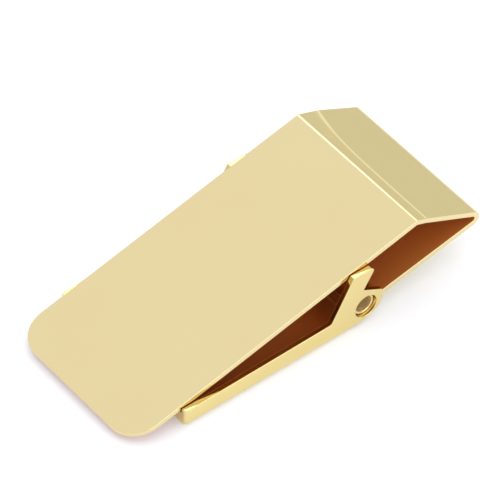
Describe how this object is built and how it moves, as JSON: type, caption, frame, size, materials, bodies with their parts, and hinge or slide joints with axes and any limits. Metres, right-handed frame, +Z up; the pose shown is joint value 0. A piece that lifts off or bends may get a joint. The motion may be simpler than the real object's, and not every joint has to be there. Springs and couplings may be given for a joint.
{
  "type": "hinged money clip",
  "caption": "Folded spring strip with a channel-shaped lever arm hinged on a tubular pin; it grips folded banknotes between plate and arm.",
  "frame": {"origin": "bottom centre of the whole clip, on the surface that its lever arm rests on", "axes": "+X along the clip from the open tip to the fold, +Y across it, +Z up from the lever arm's flat web"},
  "size_m": [0.0512, 0.0238, 0.0111],
  "materials": {
    "polished_strip": "mirror-polished pale gold, taken as plated spring brass",
    "polished_arm": "mirror-polished pale gold, taken as plated brass sheet",
    "polished_pin": "polished pale gold, taken as a plated brass tube"
  },
  "bodies": {
    "lever_arm": {"lever_arm": "polished_arm"},
    "spring_leg": {"spring_leg": "polished_strip", "hinge_pin": "polished_pin"},
    "front_plate": {"front_plate": "polished_strip"}
  },
  "joints": [
    {"name": "arm_pivot", "type": "hinge", "parent": "lever_arm", "child": "spring_leg", "pos_m": [0.00804, 0, 0.00278], "axis": [0, 1, 0], "range_deg": [0, 90]},
    {"name": "leaf_flex", "type": "hinge", "parent": "spring_leg", "child": "front_plate", "pos_m": [0.02448, 0, 0.00594], "axis": [0, 1, 0], "range_deg": [0, 1.5], "stiffness_Nm_per_rad": 4}
  ]
}
